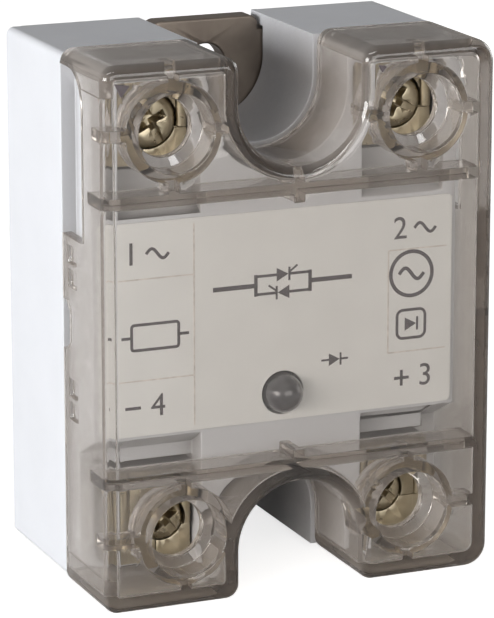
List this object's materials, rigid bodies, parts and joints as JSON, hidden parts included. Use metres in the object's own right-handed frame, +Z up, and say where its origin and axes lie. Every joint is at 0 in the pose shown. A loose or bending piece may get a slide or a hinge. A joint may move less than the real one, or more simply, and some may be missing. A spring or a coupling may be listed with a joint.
{
  "type": "solid state relay",
  "caption": "Panel-mount solid state relay block with metal base, white housing, removable clear cover, screw-clamp terminals and an indicator.",
  "frame": {"origin": "centre of the base plate's flat mounting face", "axes": "+Y out of the mounting face towards the heat sink, so the front faces -Y; +Z up towards the load terminals; +X to the right seen from the front"},
  "size_m": [0.0454, 0.0303, 0.0596],
  "materials": {
    "base_metal": "satin nickel-plated plate",
    "housing_plastic": "fine moulded texture, cool white",
    "cover_clear": "clear polycarbonate with a smoky taupe tint",
    "label_film": "satin film",
    "lens_smoked": "smoked translucent",
    "led_epoxy": "tinted epoxy",
    "substrate_ceramic": "fired alumina",
    "copper": "bare copper",
    "silicon": "polished, metallised",
    "gel": "translucent cured gel",
    "board": "green solder mask",
    "black_epoxy": "moulded epoxy",
    "tan_enamel": "enamel coat",
    "yellow_film": "epoxy-dipped box",
    "terminal_brass": "tinned brass strip",
    "screw_plating": "nickel plate with a warm cast"
  },
  "bodies": {
    "root": {"base_plate": "base_metal", "housing": "housing_plastic", "label": "label_film", "indicator_lens": "lens_smoked", "indicator_led": "led_epoxy", "ceramic_substrate": "substrate_ceramic", "copper_pad_left": "copper", "copper_pad_right": "copper", "thyristor_left": "silicon", "thyristor_right": "silicon", "cathode_clip_left": "copper", "cathode_clip_right": "copper", "gate_lead_left": "copper", "gate_lead_right": "copper", "silicone_gel": "gel", "circuit_board": "board", "optocoupler": "black_epoxy", "driver_transistor": "black_epoxy", "input_resistor": "tan_enamel", "snubber_resistor": "tan_enamel", "snubber_capacitor": "yellow_film", "load_terminal_left": "terminal_brass", "load_terminal_right": "terminal_brass", "control_terminal_left": "terminal_brass", "control_terminal_right": "terminal_brass", "terminal_nut_upper_left": "screw_plating", "terminal_nut_upper_right": "screw_plating", "terminal_nut_lower_left": "screw_plating", "terminal_nut_lower_right": "screw_plating"},
    "cover": {"clear_cover": "cover_clear"},
    "clamp_upper_left": {"clamp_plate_upper_left": "screw_plating"},
    "screw_upper_left": {"terminal_screw_upper_left": "screw_plating"},
    "clamp_upper_right": {"clamp_plate_upper_right": "screw_plating"},
    "screw_upper_right": {"terminal_screw_upper_right": "screw_plating"},
    "clamp_lower_left": {"clamp_plate_lower_left": "screw_plating"},
    "screw_lower_left": {"terminal_screw_lower_left": "screw_plating"},
    "clamp_lower_right": {"clamp_plate_lower_right": "screw_plating"},
    "screw_lower_right": {"terminal_screw_lower_right": "screw_plating"}
  },
  "joints": [
    {"name": "cover_slide", "type": "slide", "parent": "root", "child": "cover", "axis": [0, -1, 0], "range_m": [0, 0.03]},
    {"name": "clamp_slide_upper_left", "type": "slide", "parent": "root", "child": "clamp_upper_left", "axis": [0, -1, 0], "range_m": [0, 0.002]},
    {"name": "screw_turn_upper_left", "type": "hinge", "parent": "clamp_upper_left", "child": "screw_upper_left", "pos_m": [-0.0144, -0.021, 0.0222], "axis": [0, -1, 0], "range_deg": [0, 910]},
    {"name": "clamp_slide_upper_right", "type": "slide", "parent": "root", "child": "clamp_upper_right", "axis": [0, -1, 0], "range_m": [0, 0.002]},
    {"name": "screw_turn_upper_right", "type": "hinge", "parent": "clamp_upper_right", "child": "screw_upper_right", "pos_m": [0.0144, -0.021, 0.0222], "axis": [0, -1, 0], "range_deg": [0, 910]},
    {"name": "clamp_slide_lower_left", "type": "slide", "parent": "root", "child": "clamp_lower_left", "axis": [0, -1, 0], "range_m": [0, 0.002]},
    {"name": "screw_turn_lower_left", "type": "hinge", "parent": "clamp_lower_left", "child": "screw_lower_left", "pos_m": [-0.0132, -0.021, -0.0222], "axis": [0, -1, 0], "range_deg": [0, 910]},
    {"name": "clamp_slide_lower_right", "type": "slide", "parent": "root", "child": "clamp_lower_right", "axis": [0, -1, 0], "range_m": [0, 0.002]},
    {"name": "screw_turn_lower_right", "type": "hinge", "parent": "clamp_lower_right", "child": "screw_lower_right", "pos_m": [0.0132, -0.021, -0.0222], "axis": [0, -1, 0], "range_deg": [0, 910]}
  ],
  "couplings": [
    {"joint": "screw_turn_upper_left", "follows": "clamp_slide_upper_left", "rad_per_m": 7915.8},
    {"joint": "screw_turn_upper_right", "follows": "clamp_slide_upper_right", "rad_per_m": 7915.8},
    {"joint": "screw_turn_lower_left", "follows": "clamp_slide_lower_left", "rad_per_m": 7915.8},
    {"joint": "screw_turn_lower_right", "follows": "clamp_slide_lower_right", "rad_per_m": 7915.8}
  ]
}
